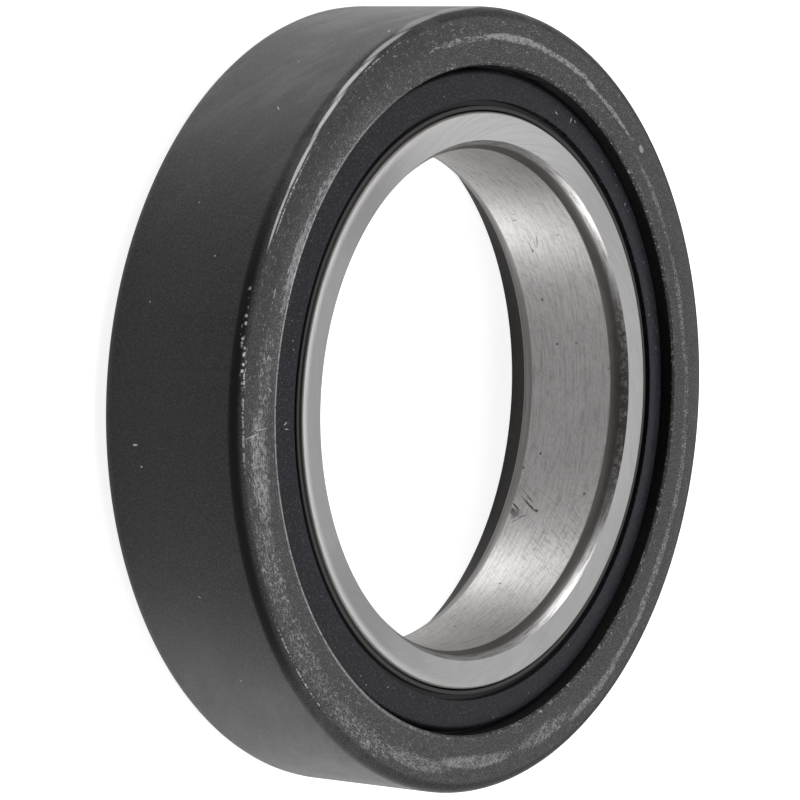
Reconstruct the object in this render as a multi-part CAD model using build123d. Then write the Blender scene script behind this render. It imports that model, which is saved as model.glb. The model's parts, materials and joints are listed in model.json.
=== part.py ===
from build123d import *
import math
import os

# Clutch release thrust bearing: a sealed single row angular contact ball bearing.
# Millimetres. The bearing axis is Z, the thrust face is up, and the rear cover lies on Z = 0.

# Radial build, from the bore outwards
bore_diameter = 64.0
inner_wall = 3.6
ball_diameter = 9.525
outer_wall = 4.875

# Axial build, from the rear cover to the thrust face
inner_set_back = 4.3
rear_shoulder_width = 3.3
front_shoulder_width = 4.5
face_step = 0.775
cover_stand_out = 0.85

# Balls and raceways
ball_count = 20
contact_angle = 25.0
groove_ratio = 1.04
ball_clearance = 0.03

# Shoulder heights above the raceway floors
inner_rear_shoulder = 2.545
inner_front_shoulder = 1.1
outer_front_shoulder = 2.545
outer_rear_shoulder = 0.6

# Thrust face and edges of the outer ring
crown_radius = 20.0
crown_inset = 2.9
front_corner = 1.5
rear_corner = 1.8
mouth_chamfer = 0.25
cover_bore_chamfer = 0.4

# Edges of the inner ring
lead_in_radius = 2.6
front_lead_in = 1.1
rear_lead_in = 1.5
inner_front_chamfer = 0.25
inner_rear_chamfer = 0.3
land_height = 1.0
land_gap = 0.3

# Cage
cage_wall = 3.0
cage_rail = 1.0
pocket_clearance = 0.12
cage_edge = 0.4

# Front shield, a dished steel pressing snapped into a groove of the outer ring
shield_sheet = 0.7
shield_dish_angle = 10.0
shield_wall_gap = 0.38
shield_bend = 1.0
shield_inner_bend = 0.25
shield_depth = 2.775
shield_foot = 0.65
snap_clearance = 0.05

# Front lip, rubber bonded under the shield's inner edge
lip_gap = 0.2
lip_width = 0.55
lip_groove_width = 0.69
lip_recess = 0.22
lip_groove_depth = 1.1
lip_body_depth = 1.8
lip_bond_margin = 0.66
lip_round = 0.18

# Rear cover, a steel channel pressed into the rear bore of the outer ring
cover_sheet = 0.9
cover_leg = 4.2
cover_bend = 0.9
collar_overlap = 1.85
collar_gap = 0.8
collar_bend = 0.4
cover_inner_bend = 0.3

# Rear lip, rubber bonded inside the rear cover
rear_lip_reach = 1.8
rear_lip_base = 0.9
rear_lip_bond_margin = 1.08

# Radii that follow from the radial build
bore_radius = bore_diameter / 2
ball_radius = ball_diameter / 2
inner_race_radius = bore_radius + inner_wall
pitch_radius = inner_race_radius + ball_radius
outer_race_radius = pitch_radius + ball_radius
outer_radius = outer_race_radius + outer_wall
inner_front_radius = inner_race_radius + inner_front_shoulder
inner_rear_radius = inner_race_radius + inner_rear_shoulder
mouth_radius = outer_race_radius - outer_front_shoulder
cover_radius = outer_race_radius - outer_rear_shoulder
lip_inner_radius = inner_front_radius + lip_gap
lip_outer_radius = lip_inner_radius + lip_width
shield_inner_radius = lip_outer_radius + lip_groove_width
shield_leg_radius = mouth_radius - shield_wall_gap
collar_radius = inner_rear_radius - collar_overlap
land_radius = collar_radius - land_gap

# Heights that follow from the axial build
ball_height = inner_set_back + rear_shoulder_width + ball_radius
inner_front_height = ball_height + ball_radius + front_shoulder_width
mouth_height = inner_front_height + face_step
outer_rear_height = cover_stand_out
foot_height = inner_front_height - shield_depth

# The crown's highest circle, and the centre of its arc
crown_circle = mouth_radius + crown_inset
crown_centre_height = mouth_height - math.sqrt(crown_radius**2 - crown_inset**2)

# The raceway grooves are a little wider than the balls, so each groove's centre lies
# back from the ball's along the contact line, which runs from inner rear to outer front.
groove_radius = ball_radius * groove_ratio
groove_offset = groove_radius - ball_radius - ball_clearance
contact_slant = math.radians(contact_angle)


def turned(section):
    """A solid of revolution about the bearing axis; the section holds (radius, height)."""
    return revolve(Plane.XZ * section, Axis.Z)


def face_of(*lines):
    """A closed face from lines and arcs that meet end to end."""
    edges = [edge for line in lines for edge in line.edges()]
    return make_face(edges)


def rounded(face, radius, *corners):
    """The face with the named corners rounded."""
    for corner in corners:
        nearest = face.vertices().sort_by_distance(Vector(*corner))[0]
        face = fillet(nearest, radius)
    return face


def crown_height(radius):
    """Height of the thrust face at a radius."""
    return crown_centre_height + math.sqrt(crown_radius**2 - (radius - crown_circle) ** 2)


def raceway(side):
    """The ring-shaped groove to cut: side is 1 for the inner ring and -1 for the outer."""
    radial = side * groove_offset * math.cos(contact_slant)
    axial = side * groove_offset * math.sin(contact_slant)
    return Pos(0, 0, ball_height + axial) * Torus(pitch_radius + radial, groove_radius)


def snap_groove():
    """The groove in the outer ring that holds the front shield's foot."""
    low = foot_height - snap_clearance
    high = foot_height + shield_sheet + snap_clearance
    reach = mouth_radius + shield_foot + snap_clearance
    inside = shield_leg_radius
    ring = Polyline((inside, low), (reach, low), (reach, high), (inside, high), close=True)
    return turned(face_of(ring))


def outer_ring():
    mouth_edge = (mouth_radius + mouth_chamfer, crown_height(mouth_radius + mouth_chamfer))
    front_edge = (outer_radius, crown_height(outer_radius))
    rear_edge = (outer_radius, outer_rear_height)
    crown = ThreePointArc(mouth_edge, (crown_circle, crown_height(crown_circle)), front_edge)
    walls = Polyline(
        front_edge,
        rear_edge,
        (cover_radius + cover_bore_chamfer, outer_rear_height),
        (cover_radius, outer_rear_height + cover_bore_chamfer),
        (cover_radius, ball_height),
        (mouth_radius, ball_height),
        (mouth_radius, mouth_height - mouth_chamfer),
        mouth_edge,
    )
    section = face_of(crown, walls)
    section = rounded(section, front_corner, front_edge)
    section = rounded(section, rear_corner, rear_edge)
    return turned(section) - raceway(-1) - snap_groove()


def lead_in_depth(width):
    """Depth of a rounded lead-in that is tangent to the bore and this wide at the face."""
    return math.sqrt(lead_in_radius**2 - (lead_in_radius - width) ** 2)


def inner_ring():
    bore_rear = (bore_radius, inner_set_back + lead_in_depth(rear_lead_in))
    bore_front = (bore_radius, inner_front_height - lead_in_depth(front_lead_in))
    rear_inner = (bore_radius + rear_lead_in, inner_set_back)
    front_inner = (bore_radius + front_lead_in, inner_front_height)
    land_top = inner_set_back + land_height
    bore = Line(bore_rear, bore_front)
    front_arc = TangentArc(bore_front, front_inner, tangent=(0, 1))
    rear_arc = TangentArc(bore_rear, rear_inner, tangent=(0, -1))
    walls = Polyline(
        front_inner,
        (inner_front_radius - inner_front_chamfer, inner_front_height),
        (inner_front_radius, inner_front_height - inner_front_chamfer),
        (inner_front_radius, ball_height),
        (inner_rear_radius, ball_height),
        (inner_rear_radius, land_top + inner_rear_chamfer),
        (inner_rear_radius - inner_rear_chamfer, land_top),
        (land_radius, land_top),
        (land_radius, inner_set_back + inner_rear_chamfer),
        (land_radius - inner_rear_chamfer, inner_set_back),
        rear_inner,
    )
    return turned(face_of(bore, front_arc, walls, rear_arc)) - raceway(1)


def ball_angles():
    return [index * 360 / ball_count for index in range(ball_count)]


def ball(angle):
    return Rot(0, 0, angle) * Pos(pitch_radius, 0, ball_height) * Sphere(ball_radius)


def cage():
    pocket_radius = ball_radius + pocket_clearance
    half_width = pocket_radius + cage_rail
    inner = pitch_radius - cage_wall / 2
    outer = pitch_radius + cage_wall / 2
    low = ball_height - half_width
    high = ball_height + half_width
    corners = [(inner, low), (outer, low), (outer, high), (inner, high)]
    section = rounded(face_of(Polyline(*corners, close=True)), cage_edge, *corners)
    body = turned(section)
    pocket = Cylinder(pocket_radius, 2 * cage_wall, rotation=(0, 90, 0))
    for angle in ball_angles():
        body -= Rot(0, 0, angle) * Pos(pitch_radius, 0, ball_height) * pocket
    return body


def shield_top(radius):
    """Height of the dished shield's outer surface at a radius."""
    slope = math.tan(math.radians(shield_dish_angle))
    return inner_front_height - (radius - shield_inner_radius) * slope


def shield_underside(radius):
    return shield_top(radius) - shield_sheet / math.cos(math.radians(shield_dish_angle))


def front_shield():
    leg_inner = shield_leg_radius - shield_sheet
    foot_reach = mouth_radius + shield_foot
    outer_bend = (shield_leg_radius, shield_top(shield_leg_radius))
    inner_bend = (leg_inner, shield_underside(leg_inner))
    outline = Polyline(
        (shield_inner_radius, shield_top(shield_inner_radius)),
        outer_bend,
        (shield_leg_radius, foot_height + shield_sheet),
        (foot_reach, foot_height + shield_sheet),
        (foot_reach, foot_height),
        (leg_inner, foot_height),
        inner_bend,
        (shield_inner_radius, shield_underside(shield_inner_radius)),
        close=True,
    )
    section = rounded(face_of(outline), shield_bend, outer_bend)
    return turned(rounded(section, shield_inner_bend, inner_bend))


def front_lip():
    crest = inner_front_height - lip_recess
    floor = inner_front_height - lip_groove_depth
    foot = inner_front_height - lip_body_depth
    bond_end = shield_leg_radius - shield_sheet - lip_bond_margin
    outline = Polyline(
        (lip_inner_radius, foot),
        (lip_inner_radius, crest),
        (lip_outer_radius, crest),
        (lip_outer_radius, floor),
        (shield_inner_radius, floor),
        (shield_inner_radius, shield_underside(shield_inner_radius)),
        (bond_end, shield_underside(bond_end)),
        (bond_end, foot),
        close=True,
    )
    crest_corners = [(lip_inner_radius, crest), (lip_outer_radius, crest)]
    return turned(rounded(face_of(outline), lip_round, *crest_corners))


def rear_cover():
    collar_height = inner_set_back - collar_gap
    outer_bend = (cover_radius, 0)
    inner_bend = (collar_radius, 0)
    leg_root = (cover_radius - cover_sheet, cover_sheet)
    collar_root = (collar_radius + cover_sheet, cover_sheet)
    outline = Polyline(
        inner_bend,
        outer_bend,
        (cover_radius, cover_leg),
        (cover_radius - cover_sheet, cover_leg),
        leg_root,
        collar_root,
        (collar_radius + cover_sheet, collar_height),
        (collar_radius, collar_height),
        close=True,
    )
    section = rounded(face_of(outline), cover_bend, outer_bend)
    section = rounded(section, collar_bend, inner_bend)
    return turned(rounded(section, cover_inner_bend, leg_root, collar_root))


def rear_lip():
    inner = inner_rear_radius + lip_gap
    crest = inner_set_back + rear_lip_reach
    base_top = cover_sheet + rear_lip_base
    bond_end = cover_radius - cover_sheet - rear_lip_bond_margin
    outline = Polyline(
        (inner, cover_sheet),
        (bond_end, cover_sheet),
        (bond_end, base_top),
        (inner + lip_width, base_top),
        (inner + lip_width, crest),
        (inner, crest),
        close=True,
    )
    crest_corners = [(inner, crest), (inner + lip_width, crest)]
    return turned(rounded(face_of(outline), lip_round, *crest_corners))


def pieces():
    """Every piece of the bearing, by name."""
    named = {
        "outer_ring": outer_ring(),
        "inner_ring": inner_ring(),
        "cage": cage(),
        "front_shield": front_shield(),
        "front_lip": front_lip(),
        "rear_cover": rear_cover(),
        "rear_lip": rear_lip(),
    }
    for number, angle in enumerate(ball_angles(), start=1):
        named[f"ball_{number:02d}"] = ball(angle)
    return named


os.makedirs("parts", exist_ok=True)
for name, shape in pieces().items():
    export_step(shape, f"parts/{name}.step")
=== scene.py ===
import json
import math

import bpy
from mathutils import Matrix, Vector, noise

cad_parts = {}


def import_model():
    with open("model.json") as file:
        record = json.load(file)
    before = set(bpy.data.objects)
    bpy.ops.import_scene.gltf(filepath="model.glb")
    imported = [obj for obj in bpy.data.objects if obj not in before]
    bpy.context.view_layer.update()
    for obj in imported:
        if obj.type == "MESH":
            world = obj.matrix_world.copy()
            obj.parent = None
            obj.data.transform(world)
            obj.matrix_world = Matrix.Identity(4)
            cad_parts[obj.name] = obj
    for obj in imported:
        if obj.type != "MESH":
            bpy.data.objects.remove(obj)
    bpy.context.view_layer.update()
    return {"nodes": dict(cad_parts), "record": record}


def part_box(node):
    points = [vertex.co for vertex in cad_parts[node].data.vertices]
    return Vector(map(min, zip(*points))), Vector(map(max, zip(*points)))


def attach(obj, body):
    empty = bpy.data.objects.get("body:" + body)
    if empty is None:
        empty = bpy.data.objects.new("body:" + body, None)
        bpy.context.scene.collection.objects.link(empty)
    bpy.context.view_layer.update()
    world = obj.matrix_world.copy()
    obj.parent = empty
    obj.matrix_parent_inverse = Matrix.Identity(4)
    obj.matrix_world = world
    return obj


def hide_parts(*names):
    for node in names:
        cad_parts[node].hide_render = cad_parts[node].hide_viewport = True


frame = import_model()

# Sizes in millimetres, read from the frame where it holds them
MM = 0.001
mounts = {mount["name"]: mount for mount in frame["record"]["mounts"]}


def reach(node):
    """Outer radius, lowest and highest point of a CAD node, in millimetres."""
    low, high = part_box(node)
    return high.x / MM, low.z / MM, high.z / MM


ring_radius, ring_rear, ring_crown = reach("outer_ring")
shield_reach, shield_foot = reach("front_shield")[:2]
lip_reach, lip_foot, lip_crest = reach("front_lip")
shoulder_radius, inner_rear, inner_front = reach("inner_ring")
cover_radius, cover_rear, cover_top = reach("rear_cover")
bore_radius = mounts["bore"]["dims"]["r_mm"]

# Outer ring
mouth_radius = 42.58
mouth_chamfer = 0.25
crown_radius = 20.0
crown_inset = 2.9
front_corner = 1.5
rear_corner = 1.8
cover_bore_chamfer = 0.4
groove_depth = 0.7

# Inner ring
lead_in_radius = 2.6
front_lead_in = 1.1
rear_lead_in = 1.5
front_shoulder = 36.7
land_radius = 35.995
land_height = 1.0
edge_chamfer = 0.25

# Front shield and lip
shield_sheet = 0.7
shield_inner = 38.14
shield_leg = 42.2
shield_dish = math.tan(math.radians(10))
shield_bend = 1.0
lip_inner = 36.9
lip_width = 0.55
lip_groove_floor = inner_front - 1.1

# Rear cover
cover_sheet = 0.9
cover_bend = 0.9
collar_radius = 36.295
collar_top = 3.5
collar_bend = 0.4

# The rounds of pressed and moulded edges, by piece
shield_edge_round = 0.12
shield_foot_round = 0.15
shield_inner_bend = 0.2
lip_edge_round = 0.18
lip_groove_round = 0.1
cover_inner_bend = 0.3

# Angles in degrees at which the lead-ins leave the bore, which show as a faint edge
front_break_angle = 13
rear_break_angle = 8

# Dents along the front corner: middle and spread in degrees, depth and size in millimetres,
# and the level of the noise above which the surface is dented
dent_middle = 174
dent_spread = 14
dent_depth = 0.35
dent_size = 0.8
dent_threshold = 0.5

# Chips in the shield's inner edge, in the same way
chip_middle = 69
chip_spread = 8
chip_depth = 0.9
chip_size = 0.5
chip_threshold = 0.42

# How finely the turned pieces are drawn, and from which angle an edge is sharp
turns = 1080
round_steps = 7
crown_steps = 14
sharp_angle = 14


# Turned meshes


def fillet(before, corner, after, radius):
    """The points of an arc that rounds a corner of an outline."""
    to_before = (Vector(before) - Vector(corner)).normalized()
    to_after = (Vector(after) - Vector(corner)).normalized()
    half = to_before.angle(to_after) / 2
    reach_back = radius / math.tan(half)
    bisector = (to_before + to_after).normalized()
    centre = Vector(corner) + bisector * (radius / math.sin(half))
    start = Vector(corner) + to_before * reach_back - centre
    end = Vector(corner) + to_after * reach_back - centre
    turn = start.angle_signed(end)
    points = []
    for step in range(round_steps + 1):
        spoke = Matrix.Rotation(-turn * step / round_steps, 2) @ start
        points.append(tuple(centre + spoke))
    return points


def outline(corners):
    """A closed outline from (radius, height) corners; a third number rounds the corner."""
    points = []
    for index, corner in enumerate(corners):
        if len(corner) == 2:
            points.append(corner)
            continue
        before = corners[index - 1][:2]
        after = corners[(index + 1) % len(corners)][:2]
        points.extend(fillet(before, corner[:2], after, corner[2]))
    return points


def crown_height(radius):
    """Height of the thrust face at a radius."""
    from_apex = radius - mouth_radius - crown_inset
    return ring_crown - crown_radius + math.sqrt(crown_radius**2 - from_apex**2)


def outer_outline():
    """Section of the outer ring, with its crown and the shield's groove."""
    crown = []
    start = mouth_radius + mouth_chamfer
    corner_room = 1.6 * front_corner
    stop = ring_radius - corner_room
    for step in range(crown_steps + 1):
        radius = start + (stop - start) * step / crown_steps
        crown.append((radius, crown_height(radius)))
    middle = (inner_rear + inner_front) / 2
    return outline(
        crown
        + [
            (ring_radius, crown_height(ring_radius), front_corner),
            (ring_radius, ring_rear, rear_corner),
            (cover_radius + cover_bore_chamfer, ring_rear),
            (cover_radius, ring_rear + cover_bore_chamfer),
            (cover_radius, middle),
            (mouth_radius, middle),
            (mouth_radius, shield_foot),
            (mouth_radius + groove_depth, shield_foot),
            (mouth_radius + groove_depth, shield_foot + shield_sheet),
            (mouth_radius, shield_foot + shield_sheet),
            (mouth_radius, crown_height(mouth_radius) - mouth_chamfer),
        ]
    )


def lead_in(width, face, side, break_angle):
    """A rounded lead-in from the bore to a face; side is 1 at the front and -1 at the rear.

    Its ends are those of the CAD's lead-in. It leaves the bore at the break angle."""
    depth = math.sqrt(lead_in_radius**2 - (lead_in_radius - width) ** 2)
    chord_slope = math.atan2(width, depth)
    first = math.radians(break_angle)
    last = 2 * chord_slope - first
    radius = math.hypot(width, depth) / (2 * math.sin((last - first) / 2))
    points = []
    for step in range(round_steps + 1):
        slope = first + (last - first) * step / round_steps
        out = radius * (math.cos(first) - math.cos(slope))
        along = radius * (math.sin(slope) - math.sin(first))
        points.append((bore_radius + out, face - side * (depth - along)))
    return points


def inner_outline():
    """Section of the inner ring, with the land at its rear."""
    front = lead_in(front_lead_in, inner_front, 1, front_break_angle)
    rear = lead_in(rear_lead_in, inner_rear, -1, rear_break_angle)
    middle = (inner_rear + inner_front) / 2
    walls = [
        (front_shoulder, inner_front, edge_chamfer),
        (front_shoulder, middle),
        (shoulder_radius, middle),
        (shoulder_radius, inner_rear + land_height, edge_chamfer),
        (land_radius, inner_rear + land_height),
        (land_radius, inner_rear, edge_chamfer),
    ]
    return outline(front + walls + rear[::-1])


def shield_top(radius):
    """Height of the dished shield's upper side at a radius."""
    return inner_front - (radius - shield_inner) * shield_dish


def shield_outline():
    """Section of the front shield: dish, leg and snap foot."""
    leg_inner = shield_leg - shield_sheet
    return outline(
        [
            (shield_inner, shield_top(shield_inner), shield_edge_round),
            (shield_leg, shield_top(shield_leg), shield_bend),
            (shield_leg, shield_foot + shield_sheet, shield_foot_round),
            (shield_reach, shield_foot + shield_sheet),
            (shield_reach, shield_foot),
            (leg_inner, shield_foot),
            (leg_inner, shield_top(leg_inner) - shield_sheet, shield_inner_bend),
            (shield_inner, shield_top(shield_inner) - shield_sheet),
        ]
    )


def lip_outline():
    """Section of the front lip, with its groove beside the shield."""
    return outline(
        [
            (lip_inner, lip_foot),
            (lip_inner, lip_crest, lip_edge_round),
            (lip_inner + lip_width, lip_crest, lip_edge_round),
            (lip_inner + lip_width, lip_groove_floor, lip_groove_round),
            (shield_inner, lip_groove_floor, lip_groove_round),
            (shield_inner, shield_top(shield_inner) - shield_sheet),
            (lip_reach, shield_top(lip_reach) - shield_sheet),
            (lip_reach, lip_foot),
        ]
    )


def cover_outline():
    """Section of the rear cover, a channel with its collar inside."""
    return outline(
        [
            (collar_radius, cover_rear, collar_bend),
            (cover_radius, cover_rear, cover_bend),
            (cover_radius, cover_top),
            (cover_radius - cover_sheet, cover_top),
            (cover_radius - cover_sheet, cover_rear + cover_sheet, cover_inner_bend),
            (collar_radius + cover_sheet, cover_rear + cover_sheet, cover_inner_bend),
            (collar_radius + cover_sheet, collar_top),
            (collar_radius, collar_top),
        ]
    )


def roughness_at(angle, radius, size):
    """Smooth noise from 0 to 1 along a circle, with features about size millimetres long."""
    place = Vector((math.cos(angle), math.sin(angle), 0.0)) * (radius / size)
    return 0.5 + 0.5 * noise.noise(place)


def window(angle, centre, half_width):
    """1 at an angle in degrees, falling to 0 at half_width from it."""
    apart = abs((math.degrees(angle) - centre + 180) % 360 - 180)
    return max(0.0, 1 - apart / half_width)


def dented_corner(radius, height, angle):
    """Small dents along the outer ring's front corner."""
    inner_end = ring_radius - 1.8
    lower_end = 21.0
    if radius <= inner_end or height <= lower_end:
        return radius, height
    above = max(0.0, roughness_at(angle, ring_radius, dent_size) - dent_threshold)
    depth = dent_depth * window(angle, dent_middle, dent_spread) * above
    return radius - depth, height - depth


def ragged_edge(radius, height, angle):
    """Tiny chips in the shield's inner edge at the upper right."""
    outer_end = shield_inner + 0.3
    if radius >= outer_end:
        return radius, height
    above = max(0.0, roughness_at(angle, shield_inner, chip_size) - chip_threshold)
    depth = chip_depth * window(angle, chip_middle, chip_spread) * above
    return radius + depth, height


def turned(name, points, wear=None):
    """A mesh turned about Z from a closed outline of (radius, height) in millimetres."""
    count = len(points)
    vertices = []
    faces = []
    for turn in range(turns):
        angle = 2 * math.pi * turn / turns
        across, along = math.cos(angle), math.sin(angle)
        for point in points:
            radius, height = wear(*point, angle) if wear else point
            vertices.append((radius * across * MM, radius * along * MM, height * MM))
    for turn in range(turns):
        here = turn * count
        there = (turn + 1) % turns * count
        for index in range(count):
            after = (index + 1) % count
            faces.append((here + index, here + after, there + after, there + index))
    mesh = bpy.data.meshes.new(name)
    mesh.from_pydata(vertices, [], faces)
    mesh.validate()
    mesh.shade_smooth()
    mesh.set_sharp_from_angle(angle=math.radians(sharp_angle))
    made = bpy.data.objects.new(name, mesh)
    bpy.context.scene.collection.objects.link(made)
    return made


# Materials

wall_tint = (1.03, 0.99, 1.05)
haze_tint = (0.98, 1.0, 1.06)
face_tint = (0.99, 1.0, 1.0)
scuff_and_highlight_tint = (1.0, 1.0, 1.02)
cover_tint = (1.05, 1.0, 0.98)
steel_tint = (1.0, 0.985, 0.985)
bore_tint = (1.01, 0.985, 0.98)
dirt_tint = (1.05, 1.0, 0.95)
stain_and_shade_tint = (1.12, 1.0, 0.88)
rear_tint = (1.03, 1.0, 0.97)
rear_edge_highlight_tint = (1.05, 1.0, 0.92)
polymer_tint = (1.1, 1.0, 0.9)
shield_black = (0.002, 0.0024, 0.005, 1)
shield_blue = (0.009, 0.0095, 0.015, 1)
shield_grain = (0.09, 0.09, 0.115, 1)

# Where one finish gives way to another, and the middle radius of each face, in millimetres
face_foot = 21.9
face_edge = 48.5
wall_edge = 49.0
corner_foot = 20.6
bore_low = 6.7
bore_high = 19.5
front_lead_edge = bore_radius + front_lead_in
rear_lead_edge = bore_radius + rear_lead_in
face_middle = 46.0
inner_face_middle = 35.0

# In the lists of marks an angle is in degrees, from +X toward +Y, and a length in millimetres.

# Wear on the thrust face: angle, radius, half length, half width and strength
wear_marks = [
    (101, 46.0, 8.0, 0.45, 0.6),
    (86, 46.2, 8.0, 0.5, 1.1),
    (72, 46.0, 7.0, 0.4, 1.0),
    (64, 45.7, 1.4, 0.4, 1.3),
    (56, 45.6, 6.0, 0.35, 0.9),
    (46, 46.4, 0.6, 0.4, 2.6),
    (36, 44.9, 9.0, 0.4, 0.8),
    (16, 44.9, 9.0, 0.5, 0.9),
    (0, 45.4, 8.0, 0.5, 0.8),
    (346, 45.9, 8.0, 0.6, 0.9),
    (331, 45.8, 8.0, 0.7, 1.0),
    (318, 46.3, 8.0, 0.6, 1.0),
    (305, 46.7, 8.0, 0.7, 1.0),
    (290, 45.8, 7.0, 1.2, 0.8),
    (271, 46.0, 9.0, 0.9, 1.0),
    (255, 46.8, 8.0, 1.0, 0.7),
    (240, 47.2, 8.0, 1.3, 0.5),
    (222, 47.0, 9.0, 1.6, 0.4),
    (205, 46.9, 8.0, 1.7, 0.5),
    (190, 46.3, 8.0, 1.6, 0.85),
    (176, 45.4, 6.0, 1.4, 0.45),
    (157, 43.7, 7.0, 0.9, 1.0),
    (144, 43.6, 5.0, 0.7, 0.7),
]

# Bright line on the front corner, partly rubbed to the metal and partly a painted highlight: angle,
# radius, half length, half width and strength
corner_rubs_and_highlight = [
    (100, 49.9, 5.0, 0.2, 0.4),
    (109, 49.84, 5.0, 0.16, 0.5),
    (118, 49.6, 5.0, 0.18, 0.7),
    (127, 49.36, 5.0, 0.2, 0.9),
    (135, 49.08, 4.5, 0.22, 1.0),
    (144, 48.88, 5.0, 0.22, 1.0),
    (153, 48.85, 4.5, 0.17, 0.9),
]

# Short white strokes and dents beside that line, with the same numbers
corner_strokes = [
    (149, 48.35, 6.0, 0.1, 1.0),
    (120, 48.9, 5.0, 0.12, 0.5),
    (178, 48.9, 4.5, 0.14, 0.9),
    (186, 48.8, 4.0, 0.16, 0.5),
    (222, 48.9, 9.0, 0.12, 0.7),
    (164.4, 46.0, 1.7, 0.09, 0.9),
]
corner_dents = [
    (166, 49.62, 1.7, 0.2, 1.0),
    (170, 49.5, 2.2, 0.2, 1.0),
    (175, 49.2, 2.6, 0.18, 1.0),
]

# Single scratches across the thrust face: angle, radius, half length, half width and tilt
face_scratches = [
    (185.1, 47.4, 0.07, 1.1, -12),
    (184.2, 45.6, 0.06, 1.1, -5),
    (178.2, 44.3, 0.06, 0.5, 30),
    (173.4, 45.2, 0.3, 0.08, 20),
]

# White nicks on the cylinder: angle, height, half length, half width and tilt
wall_nicks = [
    (187, 6.4, 0.13, 0.4, 0),
    (190, 7.2, 0.1, 0.16, 0),
    (135, 15.0, 0.4, 0.07, 50),
    (124, 12.0, 0.1, 0.1, 0),
    (114, 20.0, 0.3, 0.09, 20),
    (152, 10.4, 0.1, 0.1, 0),
    (167, 7.1, 0.1, 0.1, 0),
    (160, 15.5, 0.1, 0.1, 0),
    (209, 12.5, 0.2, 0.07, 60),
    (224, 13.2, 0.1, 0.1, 0),
]

# Nicks on the shield: angle, radius, half length, half width and tilt
shield_marks = [
    (69, 39.9, 0.35, 0.12, 20),
    (64, 40.6, 0.1, 0.5, 10),
    (62.6, 40.9, 0.25, 0.1, 40),
    (184, 39.6, 0.3, 0.1, 50),
    (185, 39.4, 0.08, 0.35, 10),
    (40, 40.4, 0.1, 0.3, 0),
]

# Dark strokes in the bore: angle, height, half length, half width, tilt and strength
bore_marks = [
    (333.2, 9.3, 1.9, 0.15, -56, 1.0),
    (331.6, 10.9, 0.35, 0.2, -56, 1.0),
    (334.5, 9.25, 0.95, 0.11, -56, 1.0),
    (334.0, 8.7, 1.0, 0.07, -56, 0.8),
    (335.8, 8.4, 1.5, 0.06, -56, 0.6),
    (336.9, 8.8, 1.2, 0.05, -56, 0.5),
    (332.3, 7.4, 1.0, 0.11, -56, 1.0),
    (331.4, 7.2, 0.8, 0.08, -56, 0.9),
    (330.4, 7.7, 0.75, 0.65, 0, 0.7),
    (331.0, 7.2, 0.5, 0.5, 0, 0.8),
    (329.9, 8.9, 0.6, 0.07, 80, 1.0),
    (328.9, 8.3, 0.9, 0.09, 54, 0.9),
    (338.6, 6.6, 1.0, 0.07, 10, 0.7),
    (336.6, 16.2, 0.4, 0.05, -56, 0.6),
    (336.2, 16.8, 0.4, 0.05, -56, 0.5),
    (335.8, 17.3, 0.3, 0.05, -56, 0.5),
    (325.9, 13.4, 0.35, 0.08, -60, 0.9),
    (38.4, 10.4, 0.9, 0.07, 0, 1.0),
    (37.2, 10.5, 0.3, 0.11, 20, 1.0),
    (40.1, 11.8, 1.2, 0.16, 22, 0.5),
    (39.6, 11.3, 0.8, 0.06, 10, 0.8),
    (41.2, 10.9, 0.4, 0.05, -39, 0.9),
    (46.7, 9.9, 0.55, 0.07, 72, 0.9),
    (48.7, 10.3, 0.4, 0.06, 80, 0.7),
    (44.0, 10.6, 0.6, 0.05, -60, 0.6),
]


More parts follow.
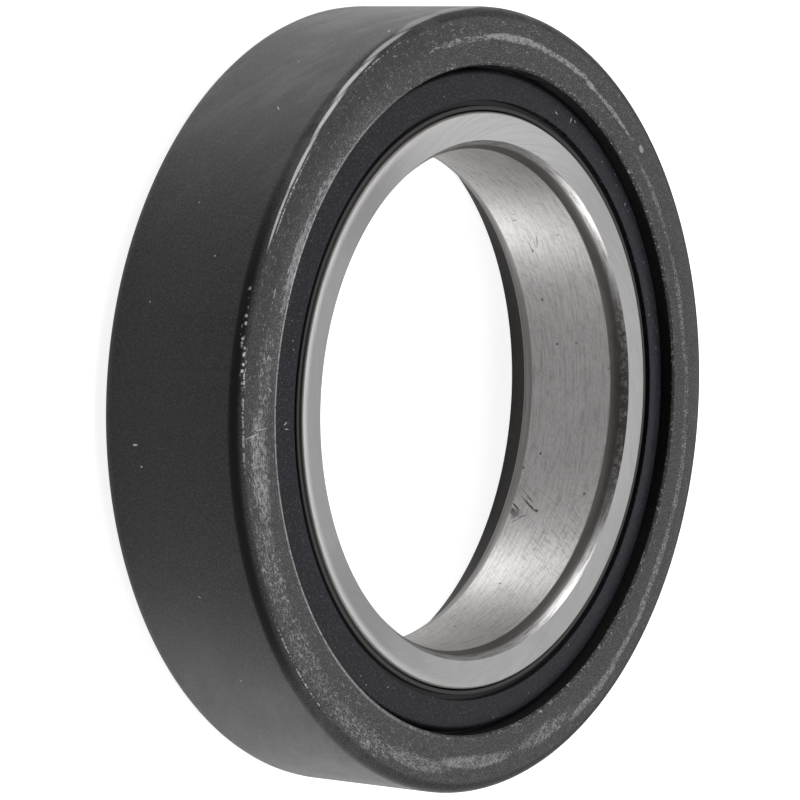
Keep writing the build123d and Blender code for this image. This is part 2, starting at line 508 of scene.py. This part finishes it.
class Graph:
    """Builds the nodes of one material around its Principled shader.

    Its place, height and radius are in millimetres, in the part's own frame, and its turn is the
    angle about the axis. A value may be a number or the output of another node."""

    def __init__(self, name):
        self.material = bpy.data.materials.new(name)
        self.material.use_nodes = True
        self.tree = self.material.node_tree
        self.shader = self.tree.nodes["Principled BSDF"]
        place = self.node("ShaderNodeTexCoord").outputs["Object"]
        scaled = self.node("ShaderNodeVectorMath", {0: place, "Scale": 1 / MM}, operation="SCALE")
        self.place = scaled.outputs[0]
        x, y, self.height = self.node("ShaderNodeSeparateXYZ", {"Vector": self.place}).outputs
        self.radius = self.calculate("SQRT", self.add(self.times(x, x), self.times(y, y)))
        self.cos = self.calculate("DIVIDE", x, self.radius)
        self.sin = self.calculate("DIVIDE", y, self.radius)
        self.turn = self.calculate("ARCTAN2", y, x)

    def node(self, kind, inputs=None, **settings):
        """A new node; inputs are values or links by socket, and settings are its own choices."""
        made = self.tree.nodes.new(kind)
        for key, value in settings.items():
            setattr(made, key, value)
        for key, value in (inputs or {}).items():
            self.put(made.inputs[key], value)
        return made

    def put(self, socket, value):
        if isinstance(value, bpy.types.NodeSocket):
            self.tree.links.new(value, socket)
        else:
            socket.default_value = value

    def calculate(self, operation, *values, clamp=False):
        made = self.node("ShaderNodeMath", operation=operation, use_clamp=clamp)
        for index, value in enumerate(values):
            self.put(made.inputs[index], value)
        return made.outputs[0]

    def join(self, x, y, z):
        return self.node("ShaderNodeCombineXYZ", {"X": x, "Y": y, "Z": z}).outputs[0]

    def add(self, *values):
        total = values[0]
        for value in values[1:]:
            total = self.calculate("ADD", total, value)
        return total

    def times(self, *values):
        total = values[0]
        for value in values[1:]:
            total = self.calculate("MULTIPLY", total, value)
        return total

    def less(self, first, second):
        return self.calculate("SUBTRACT", first, second)

    def greatest(self, *values):
        most = values[0]
        for value in values[1:]:
            most = self.calculate("MAXIMUM", most, value)
        return most

    def ramp(self, value, low, high, to_low=0.0, to_high=1.0):
        """Smooth step from to_low to to_high as value goes from low to high."""
        made = self.node(
            "ShaderNodeMapRange",
            {"Value": value, "From Min": low, "From Max": high, "To Min": to_low, "To Max": to_high},
            interpolation_type="SMOOTHSTEP",
        )
        return made.outputs["Result"]

    def band(self, value, low, high, soft):
        """1 between low and high, 0 outside, with soft edges."""
        return self.times(
            self.ramp(value, low - soft, low + soft), self.ramp(value, high + soft, high - soft),
        )

    def sector(self, centre, half_width, soft):
        """1 within half_width degrees of an angle about the axis, 0 outside."""
        turn = math.radians(centre)
        facing = self.add(self.times(self.cos, math.cos(turn)), self.times(self.sin, math.sin(turn)))
        outside = math.cos(math.radians(min(180, half_width + soft)))
        inside = math.cos(math.radians(max(0, half_width - soft)))
        return self.ramp(facing, outside, inside)

    def noise(self, vector, size, detail=3.0, rough=0.55, warp=0.0):
        """Noise from 0 to 1 whose features measure about size millimetres."""
        made = self.node(
            "ShaderNodeTexNoise",
            {
                "Vector": vector, "Scale": 1 / size, "Detail": detail, "Roughness": rough,
                "Distortion": warp,
            },
        )
        return made.outputs["Fac"]

    def cells(self, vector, size):
        """Distance to the nearest cell centre, from 0 at the centre."""
        made = self.node("ShaderNodeTexVoronoi", {"Vector": vector, "Scale": 1 / size})
        return made.outputs["Distance"]

    def around(self, across, along, stretch):
        """Coordinates that run round the ring: across in millimetres, along stretched out."""
        size = along / stretch
        return self.join(self.times(self.cos, size), self.times(self.sin, size), across)

    def spiral(self, slant, middle):
        """Coordinates for lines that cross a face from edge to edge, slanting as they go."""
        turn = self.times(self.less(self.radius, middle), slant)
        ahead, aside = self.calculate("COSINE", turn), self.calculate("SINE", turn)
        across = self.less(self.times(self.cos, ahead), self.times(self.sin, aside))
        along = self.add(self.times(self.sin, ahead), self.times(self.cos, aside))
        drawn_out = self.times(self.radius, 0.06)
        return self.join(self.times(across, middle), self.times(along, middle), drawn_out)

    def helix(self, radius, climb, stretch):
        """Coordinates for streaks on a wall that run round it and climb as they go."""
        across = self.add(self.height, self.times(self.turn, radius * climb))
        return self.around(across, radius, stretch)

    def mark(self, level, angle, centre, half_length, half_width, tilt=0):
        """1 inside an oval mark on a face (level is the radius) or a wall (level is the height)."""
        gap = self.less(self.turn, math.radians(angle))
        along = self.times(self.calculate("WRAP", gap, math.pi, -math.pi), self.radius)
        across = self.less(level, centre)
        if tilt:
            lean = math.radians(tilt)
            level_part = self.times(across, math.sin(lean))
            turn_part = self.times(along, -math.sin(lean))
            along = self.add(self.times(along, math.cos(lean)), level_part)
            across = self.add(self.times(across, math.cos(lean)), turn_part)
        along = self.times(along, 1 / half_length)
        across = self.times(across, 1 / half_width)
        return self.ramp(self.add(self.times(along, along), self.times(across, across)), 1.5, 0.3)

    def mix(self, factor, first, second):
        """A number between first and second."""
        made = self.node("ShaderNodeMix", data_type="FLOAT")
        for socket, value in zip(made.inputs[:1] + made.inputs[2:4], (factor, first, second)):
            self.put(socket, value)
        return made.outputs[0]

    def blend(self, factor, first, second):
        """A colour between first and second."""
        made = self.node("ShaderNodeMix", data_type="RGBA")
        colours = [socket for socket in made.inputs if socket.type == "RGBA"]
        for socket, value in zip([made.inputs["Factor"]] + colours, (factor, first, second)):
            self.put(socket, value)
        return [socket for socket in made.outputs if socket.type == "RGBA"][0]

    def bump(self, height, distance):
        """A normal raised by height times distance, in millimetres."""
        inputs = {"Height": height, "Distance": distance * MM, "Strength": 1.0}
        return self.node("ShaderNodeBump", inputs).outputs["Normal"]

    def finish(self, **sockets):
        """Sets the shader's sockets, named with _ for a space, and gives the material."""
        for name, value in sockets.items():
            self.put(self.shader.inputs[name.replace("_", " ")], value)
        return self.material


def grey(level, tint=(1.0, 1.0, 1.0)):
    """A colour of one level, leaning a little to a tint."""
    return tuple(level * part for part in tint) + (1.0,)


def strongest(graph, level, marks):
    """The greatest of several marks, whose last number is the strength."""
    return graph.greatest(0.0, *[graph.times(graph.mark(level, *mark[:-1]), mark[-1]) for mark in marks])


def any_mark(graph, level, marks):
    """1 inside any of several marks that have no strength."""
    return graph.greatest(0.0, *[graph.mark(level, *mark) for mark in marks])


def black_steel():
    """Matte black phosphated steel, scuffed on the thrust face, bright on its worn edges, with painted
    highlights on the mouth and the front corner and a band of painted shade beside that corner.
    """
    graph = Graph("black_steel")
    grain = graph.noise(graph.place, 0.24, 3.0, 0.85)
    cloud = graph.noise(graph.place, 7.0, 4.0, 0.6, 0.5)
    on_top = graph.ramp(graph.height, face_foot, face_foot + 0.25)
    face = graph.times(on_top, graph.ramp(graph.radius, face_edge + 0.4, face_edge))
    at_top = graph.ramp(graph.height, face_foot, face_foot + 0.2)

    # Cylinder and rounded corners: charcoal, with rubbed hazy patches and a dark band
    # of painted shade beside the front corner
    haze = graph.noise(graph.helix(ring_radius, 0.5, 3.0), 4.0, 6.0, 0.66)
    rubbed = graph.times(graph.sector(108, 34, 20), graph.ramp(haze, 0.44, 0.64))
    low_haze = graph.times(graph.sector(238, 14, 10), graph.ramp(haze, 0.40, 0.66), 0.6)
    charcoal = graph.blend(cloud, grey(0.003, wall_tint), grey(0.013, wall_tint))
    hazy = graph.greatest(rubbed, low_haze)
    wall = graph.blend(graph.times(hazy, 0.75), charcoal, grey(0.072, haze_tint))
    # Painted shade: a dark band on the cylinder just below the front corner, on the -X side
    beside_height = graph.band(graph.height, corner_foot + 0.3, corner_foot + 1.45, 0.3)
    past_face = graph.ramp(graph.radius, wall_edge, wall_edge + 0.35)
    painted_shade_beside_corner = graph.times(beside_height, past_face, graph.sector(188, 32, 12))
    wall = graph.blend(graph.times(painted_shade_beside_corner, 0.95), wall, grey(0.001))

    # Thrust face: greenish grey, with fine scratches across and around it
    dull = graph.blend(
        graph.noise(graph.place, 1.2, 4.0, 0.65), grey(0.019, face_tint), grey(0.043, face_tint),
    )
    grit = graph.noise(graph.place, 0.22, 3.0, 0.85)
    across = graph.noise(graph.spiral(0.04, face_middle), 0.22, 3.0, 0.75)
    along = graph.noise(graph.around(graph.radius, face_middle + 0.5, 4.0), 0.2, 4.0, 0.8)
    patchy = graph.noise(graph.place, 0.9, 4.0, 0.75)
    wear = strongest(graph, graph.radius, wear_marks)
    help_wear = graph.add(graph.times(wear, 0.13), graph.times(patchy, 0.3))
    crossing = graph.times(
        graph.ramp(graph.add(across, help_wear), 0.79, 0.90), graph.sector(280, 45, 20),
    )
    circling = graph.times(
        graph.ramp(graph.add(along, graph.times(help_wear, 1.1)), 0.75, 0.85), graph.sector(150, 110, 20),
    )
    dotted = graph.ramp(graph.add(grit, graph.times(help_wear, 1.1)), 0.78, 0.90)
    mouth_gap = graph.times(graph.less(graph.radius, mouth_radius), 0.05)
    near_mouth = graph.times(graph.sector(148, 28, 14), 0.15)
    rubbed_mouth = graph.ramp(graph.less(graph.add(grit, near_mouth), mouth_gap), 0.60, 0.76)
    scuffs = graph.greatest(crossing, circling, dotted, rubbed_mouth)

    # Edges: the mouth's bright line, worn and with a painted highlight on the -X side, and the worn outer
    # corner with a painted highlight along it
    edge_noise = graph.noise(graph.place, 0.5, 3.0, 0.7)
    mouth_line = graph.times(
        graph.band(graph.radius, mouth_radius - 0.2, mouth_radius + 0.52, 0.06), at_top,
    )
    # Painted highlight along the mouth edge on the -X side
    mouth_left_highlight = graph.times(graph.sector(190, 50, 30), graph.ramp(edge_noise, 0.3, 0.55), 0.55)
    mouth_specks = graph.times(graph.ramp(graph.add(edge_noise, graph.times(grit, 0.6)), 0.89, 0.98), 0.7)
    mouth_shine = graph.times(mouth_line, graph.greatest(mouth_left_highlight, mouth_specks))
    rubs_and_highlight = graph.times(
        strongest(graph, graph.radius, corner_rubs_and_highlight), graph.ramp(edge_noise, 0.25, 0.42), 0.9,
    )
    strokes = graph.times(
        strongest(graph, graph.radius, corner_strokes), graph.ramp(edge_noise, 0.47, 0.56),
    )
    dents = graph.times(
        strongest(graph, graph.radius, corner_dents),
        graph.ramp(graph.cells(graph.place, 0.55), 0.5, 0.3),
    )
    corner = graph.greatest(rubs_and_highlight, strokes, dents)
    nicks = graph.times(
        any_mark(graph, graph.height, wall_nicks), graph.ramp(graph.radius, wall_edge, wall_edge + 0.5),
    )
    scratches = graph.times(any_mark(graph, graph.radius, face_scratches), face, 0.75)

    on_corner = graph.ramp(graph.height, corner_foot, corner_foot + 0.4)
    edges = graph.add(mouth_shine, graph.times(corner, on_corner), graph.greatest(nicks, scratches))
    # Pale where worn, and where the painted highlights of the mouth and the front corner lie
    bright_and_painted_light = graph.calculate("ADD", graph.times(face, scuffs, 0.55), edges, clamp=True)
    paint = graph.blend(face, wall, dull)
    dusty = graph.blend(face, grey(0.10, wall_tint), grey(0.18))
    outer_half = graph.ramp(graph.radius, 45.2, 46.6)
    clean = graph.times(face, outer_half, graph.sector(140, 34, 14))
    off_mouth = graph.ramp(graph.radius, mouth_radius + 0.1, mouth_radius + 0.3, 0.35)
    dust = graph.ramp(graph.greatest(painted_shade_beside_corner, graph.times(clean, 0.6)), 1.0, 0.0, 0.0, 0.55)
    specks = graph.times(graph.ramp(grain, 0.40, 0.68), dust, off_mouth)
    speckled = graph.blend(specks, paint, dusty)
    colour = graph.blend(bright_and_painted_light, speckled, grey(0.55, scuff_and_highlight_tint))
    rough = graph.add(
        0.40, graph.times(cloud, 0.12), graph.times(face, 0.05), graph.times(painted_shade_beside_corner, 0.3),
    )
    return graph.finish(
        Base_Color=colour, Roughness=rough, Metallic=graph.times(bright_and_painted_light, 0.5),
        Normal=graph.bump(grain, 0.05),
        Specular_IOR_Level=0.28,
    )


def shield_steel():
    """Satin blue-black pressed steel with a few pale specks, and a lighter grey at the rear that is
    painted light on the shaded rear cover.
    """
    graph = Graph("shield_steel")
    grain = graph.noise(graph.place, 0.3, 3.0, 0.8)
    cloud = graph.noise(graph.place, 5.0, 3.0)
    dark = graph.blend(cloud, shield_black, shield_blue)
    base = graph.blend(graph.times(graph.ramp(grain, 0.5, 0.72), 0.6), dark, shield_grain)
    specks = graph.ramp(graph.cells(graph.place, 1.7), 0.075, 0.04)
    marks = graph.greatest(specks, any_mark(graph, graph.radius, shield_marks))
    broken = graph.ramp(graph.noise(graph.place, 0.3, 3.0, 0.7), 0.36, 0.5)
    at_front = graph.ramp(graph.height, 19.5, 20.0)
    shown = graph.times(marks, broken, at_front, 0.7)
    # Painted light: a lighter grey on the rear cover, which sits in shade below the rings
    at_rear = graph.ramp(graph.height, 8.0, 6.0)
    bright_and_painted_light = graph.blend(grain, grey(0.08, cover_tint), grey(0.24, cover_tint))
    colour = graph.blend(at_rear, graph.blend(shown, base, grey(0.5)), bright_and_painted_light)
    rough = graph.add(0.38, graph.times(cloud, 0.12))
    return graph.finish(
        Base_Color=colour, Roughness=rough, Normal=graph.bump(grain, 0.03), Specular_IOR_Level=0.30,
    )


def seal_rubber():
    """Matte black rubber with a faint grain."""
    graph = Graph("seal_rubber")
    grain = graph.noise(graph.place, 0.18, 3.0, 0.6)
    colour = graph.blend(grain, grey(0.010), grey(0.030))
    return graph.finish(
        Base_Color=colour, Roughness=graph.add(0.42, graph.times(grain, 0.2)),
        Normal=graph.bump(grain, 0.008),
    )


def ground_steel():
    """Bright ground steel, with grinding lines, a scratched bore, brown on the lead-in and the outer edge
    that is partly oil and partly painted shade, painted shade with a painted highlight on the rear
    lead-in, and painted light and shade on the front face.
    """
    graph = Graph("ground_steel")
    on_top = graph.ramp(graph.height, inner_front - 0.075, inner_front - 0.025)
    face = graph.times(on_top, graph.ramp(graph.radius, front_lead_edge - 0.1, front_lead_edge))
    on_wall = graph.ramp(graph.radius, bore_radius + 0.08, bore_radius + 0.03)
    bore = graph.times(on_wall, graph.band(graph.height, bore_low, bore_high, 0.1))

    # Grinding lines: round the bore, and slanting across the faces
    round_lines = graph.noise(graph.around(graph.height, bore_radius, 14.0), 0.24, 4.0, 0.75)
    face_lines = graph.noise(graph.spiral(0.11, inner_face_middle), 0.13, 3.0, 0.65)
    lines = graph.mix(face, round_lines, face_lines)
    cloud = graph.noise(graph.place, 3.0, 4.0, 0.6, 0.8)
    mottle = graph.noise(graph.place, 0.7, 4.0, 0.65)

    # Dark marks in the bore
    strokes = graph.noise(graph.helix(bore_radius, 1.45, 5.0), 0.26, 4.0, 0.75)
    hatch = graph.times(
        graph.sector(324, 9, 5), graph.band(graph.height, 11.5, 19.0, 1.5), graph.ramp(mottle, 0.35, 0.6),
    )
    hatched = graph.add(graph.times(hatch, 0.7), graph.times(graph.ramp(graph.cos, 0.0, 0.5), 0.3))
    stroke_zone = graph.times(bore, hatched, graph.ramp(strokes, 0.50, 0.66))
    smudged = graph.times(
        bore, strongest(graph, graph.height, bore_marks), graph.ramp(strokes, 0.38, 0.52, 0.3, 1.0),
    )
    spots = graph.times(graph.ramp(graph.cells(graph.place, 3.4), 0.07, 0.045), bore)
    dark = graph.greatest(graph.times(stroke_zone, 0.6), smudged, graph.times(spots, 0.8))

    pale = graph.blend(cloud, grey(0.50, steel_tint), grey(0.64, steel_tint))
    # Painted light on the front face: painted shade on the diagonals and on the -X side, a painted
    # highlight on the outer edge there, and a lighter upper side
    cross = graph.less(graph.times(graph.cos, graph.cos), graph.times(graph.sin, graph.sin))
    sheen = graph.ramp(graph.times(cross, cross), 0.0, 0.8)
    painted_shade_diagonals = graph.times(face, graph.less(1.0, sheen), graph.ramp(graph.cos, 0.9, -0.3, 0.3, 1.0))
    outer_part = graph.ramp(graph.radius, 35.4, 36.3)
    painted_highlight_rolled_edge = graph.times(face, outer_part, graph.sector(180, 70, 25))
    left = graph.times(face, graph.sector(180, 75, 30), 0.45)
    pale = graph.blend(graph.greatest(graph.times(painted_shade_diagonals, 0.6), left), pale, grey(0.26, steel_tint))
    pale = graph.blend(graph.times(painted_highlight_rolled_edge, 0.8), pale, grey(0.85, steel_tint))
    top = graph.times(face, graph.sector(92, 24, 20), 0.6)
    pale = graph.blend(top, pale, grey(0.80, steel_tint))
    pale = graph.blend(bore, pale, grey(0.74, bore_tint))
    lined = graph.blend(graph.times(graph.ramp(lines, 0.44, 0.66), 0.45), pale, grey(0.30, steel_tint))
    mottled = graph.blend(
        graph.times(graph.ramp(mottle, 0.5, 0.7), bore, 0.25), lined, grey(0.3, steel_tint),
    )
    colour = graph.blend(graph.times(dark, 0.95), mottled, grey(0.025, dirt_tint))

    # Lead-in and outer edge brown, partly oil and partly painted shade, with coarse lines on the lead-in;
    # the rear lead-in grey with a light edge, painted shade and a painted highlight
    above_bore = graph.ramp(graph.height, bore_high - 0.2, bore_high - 0.05)
    in_lead = graph.times(
        above_bore, graph.ramp(graph.radius, front_lead_edge + 0.02, front_lead_edge - 0.05),
    )
    lead_lines = graph.noise(graph.around(graph.height, bore_radius, 24.0), 0.16, 3.0, 0.7)
    # Partly painted shade: the inner part of the lead-in darkened all round
    inner_part = graph.ramp(graph.radius, bore_radius + 0.62, bore_radius + 0.4)
    blotch = graph.times(graph.sector(0, 22, 10), graph.ramp(mottle, 0.38, 0.55))
    lead_stain_and_shade = graph.greatest(graph.times(inner_part, 0.75), graph.times(blotch, 0.8))
    lead_stain_and_shade = graph.greatest(lead_stain_and_shade, graph.times(graph.ramp(lead_lines, 0.52, 0.6), 0.6))
    # Partly painted shade: the outer chamfer and the wall beside the lip darkened brown
    past_shoulder = graph.ramp(graph.radius, front_shoulder - 0.24, front_shoulder - 0.2)
    outer_edge = graph.times(past_shoulder, graph.ramp(graph.height, 20.0, 20.5))
    stain_and_shade = graph.greatest(graph.times(in_lead, lead_stain_and_shade), graph.times(outer_edge, 0.8))
    stained_and_shaded = graph.blend(stain_and_shade, colour, grey(0.11, stain_and_shade_tint))
    # Painted shade on the rear lead-in, grey, with a painted highlight along its outer edge
    below_bore = graph.ramp(graph.height, bore_low + 0.02, bore_low - 0.08)
    rear_lead = graph.times(below_bore, graph.ramp(graph.radius, rear_lead_edge, rear_lead_edge - 0.1))
    rear_edge_highlight = graph.times(rear_lead, graph.ramp(graph.radius, bore_radius + 0.75, bore_radius + 0.9))
    shaded = graph.blend(rear_lead, stained_and_shaded, grey(0.36, rear_tint))
    edged = graph.blend(rear_edge_highlight, shaded, grey(0.85, rear_edge_highlight_tint))
    plain = graph.greatest(graph.times(outer_edge, 0.7), graph.times(rear_lead, 0.8))
    plain_rough = graph.add(0.30, graph.times(cloud, 0.1), graph.times(lines, 0.08))
    rough = graph.mix(bore, plain_rough, graph.add(0.37, graph.times(cloud, 0.12)))
    normal = graph.bump(graph.add(lines, graph.times(mottle, 0.3)), 0.003)
    around = graph.node("ShaderNodeTangent", direction_type="RADIAL", axis="Z").outputs["Tangent"]
    brushed = graph.mix(bore, graph.times(face, 0.6), 0.9)
    return graph.finish(
        Base_Color=edged, Roughness=rough, Metallic=graph.less(1.0, plain), Normal=normal,
        Anisotropic=brushed, Anisotropic_Rotation=graph.mix(face, 0.25, 0.0), Tangent=around,
    )


def ball_steel():
    """Polished bearing steel under a film of grease."""
    graph = Graph("ball_steel")
    cloud = graph.noise(graph.place, 1.6, 3.0)
    colour = graph.blend(cloud, grey(0.52), grey(0.66))
    return graph.finish(
        Base_Color=colour, Roughness=graph.add(0.08, graph.times(cloud, 0.12)), Metallic=1.0,
    )


def cage_polymer():
    """Dark glass filled polymer."""
    graph = Graph("cage_polymer")
    fibre = graph.noise(graph.place, 0.3, 4.0, 0.7)
    colour = graph.blend(fibre, grey(0.03, polymer_tint), grey(0.07, polymer_tint))
    return graph.finish(
        Base_Color=colour, Roughness=graph.add(0.45, graph.times(fibre, 0.15)),
        Normal=graph.bump(fibre, 0.01),
    )


finishes = {
    "black_steel": black_steel(),
    "shield_steel": shield_steel(),
    "seal_rubber": seal_rubber(),
    "ground_steel": ground_steel(),
    "ball_steel": ball_steel(),
    "cage_polymer": cage_polymer(),
}


def dress(name, points, slot, node, body, wear=None):
    """A turned piece that stands for a CAD node and moves with its body."""
    piece = turned(name, points, wear)
    piece.data.materials.append(finishes[slot])
    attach(piece, body)
    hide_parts(node)


dress("outer_ring_turned", outer_outline(), "black_steel", "outer_ring", "outer", dented_corner)
dress("front_shield_pressed", shield_outline(), "shield_steel", "front_shield", "outer", ragged_edge)
dress("front_lip_moulded", lip_outline(), "seal_rubber", "front_lip", "outer")
dress("rear_cover_pressed", cover_outline(), "shield_steel", "rear_cover", "outer")
dress("inner_ring_ground", inner_outline(), "ground_steel", "inner_ring", "inner")

for node, cad in frame["nodes"].items():
    if node.startswith("ball_"):
        slot = "ball_steel"
    elif node == "cage":
        slot = "cage_polymer"
    elif node == "rear_lip":
        slot = "seal_rubber"
    else:
        continue
    cad.data.materials.clear()
    cad.data.materials.append(finishes[slot])


# Camera, from the photograph's perspective: the bearing's axis in camera space is turned
# by yaw to the right of the viewer and by pitch downwards. The point of the axis at the
# fitted height lies at the view point. Both are in millimetres.
photo_size = 800
focal_pixels = 4707.0
sensor = 36.0
axis_yaw = math.radians(52.91)
axis_pitch = math.radians(2.89)
view_point = Vector((10.17, 0.10, 598.3))
fitted_height = 21.4


def place_camera():
    """The photograph's camera, set up in the part's own frame."""
    axis = Vector(
        (
            math.sin(axis_yaw) * math.cos(axis_pitch),
            math.sin(axis_pitch),
            -math.cos(axis_yaw) * math.cos(axis_pitch),
        )
    )
    up = Vector((0, -1, 0))
    up = (up - axis * up.dot(axis)).normalized()
    side = up.cross(axis)
    to_part = Matrix((side, up, axis))
    origin = view_point - axis * fitted_height
    data = bpy.data.cameras.new("camera")
    data.sensor_width = sensor
    data.lens = focal_pixels * sensor / photo_size
    data.clip_start = 0.01
    data.clip_end = 20
    camera = bpy.data.objects.new("camera", data)
    turn = to_part @ Matrix(((1, 0, 0), (0, -1, 0), (0, 0, -1)))
    camera.matrix_world = Matrix.Translation(-(to_part @ origin) * MM) @ turn.to_4x4()
    bpy.context.scene.collection.objects.link(camera)
    bpy.context.scene.camera = camera


place_camera()


# Stage and light, in metres

world_level = 0.09
floor_half = 4.0
floor_gap = 0.00005
floor_glow = 0.88
floor_mirrored_glow = 0.75
floor_shaded_glow = 0.16
floor_shade_inside = 0.036
floor_shade_outside = 0.060


def floor():
    """A satin white table that shows white to the camera and keeps the bearing's shadow."""
    mesh = bpy.data.meshes.new("floor")
    corners = [(x * floor_half, y * floor_half, 0) for x, y in ((-1, -1), (1, -1), (1, 1), (-1, 1))]
    mesh.from_pydata(corners, [], [(0, 1, 2, 3)])
    made = bpy.data.objects.new("floor", mesh)
    made.location.z = -floor_gap
    bpy.context.scene.collection.objects.link(made)
    graph = Graph("floor")
    path = graph.node("ShaderNodeLightPath").outputs
    mirrored_glow = graph.ramp(
        graph.radius, floor_shade_inside / MM, floor_shade_outside / MM, floor_shaded_glow,
        floor_mirrored_glow,
    )
    seen = graph.times(path["Is Camera Ray"], floor_glow)
    mirrored = graph.times(path["Is Glossy Ray"], mirrored_glow)
    mesh.materials.append(
        graph.finish(
            Base_Color=grey(0.9), Metallic=0.6, Roughness=0.22,
            Emission_Color=grey(1.0), Emission_Strength=graph.add(seen, mirrored),
        )
    )


def lamp(name, place, size, radiance):
    """A soft box that faces the bearing; radiance 1 reflects as white."""
    data = bpy.data.lights.new(name, "AREA")
    data.shape = "RECTANGLE"
    data.size, data.size_y = size
    data.energy = radiance * math.pi * size[0] * size[1]
    made = bpy.data.objects.new(name, data)
    made.location = place
    made.rotation_mode = "QUATERNION"
    made.rotation_quaternion = Vector(place).to_track_quat("Z", "Y")
    bpy.context.scene.collection.objects.link(made)


def world():
    """Dim light from all sides that shows white to the camera."""
    made = bpy.data.worlds.new("studio")
    made.use_nodes = True
    tree = made.node_tree
    tree.nodes["Background"].inputs["Color"].default_value = grey(1.0)
    path = tree.nodes.new("ShaderNodeLightPath")
    level = tree.nodes.new("ShaderNodeMapRange")
    level.inputs["To Min"].default_value = world_level
    level.inputs["To Max"].default_value = 1.0
    tree.links.new(path.outputs["Is Camera Ray"], level.inputs["Value"])
    tree.links.new(level.outputs["Result"], tree.nodes["Background"].inputs["Strength"])
    bpy.context.scene.world = made


floor()
world()
lamp("box_top", (0.03, 0.95, 0.72), (0.42, 1.0), 5.0)
lamp("box_bottom", (0.03, -0.95, 0.72), (0.42, 1.0), 4.7)
lamp("box_front", (1.1, 0.0, 0.8), (1.0, 1.0), 0.72)
lamp("box_corner_top", (0.68, 0.68, 0.75), (0.5, 0.8), 1.4)
lamp("box_corner_bottom", (0.68, -0.68, 0.75), (0.5, 0.8), 1.4)
lamp("box_above", (0.08, 0.0, 1.3), (0.4, 0.4), 6.0)

bpy.context.scene.view_settings.view_transform = "Standard"
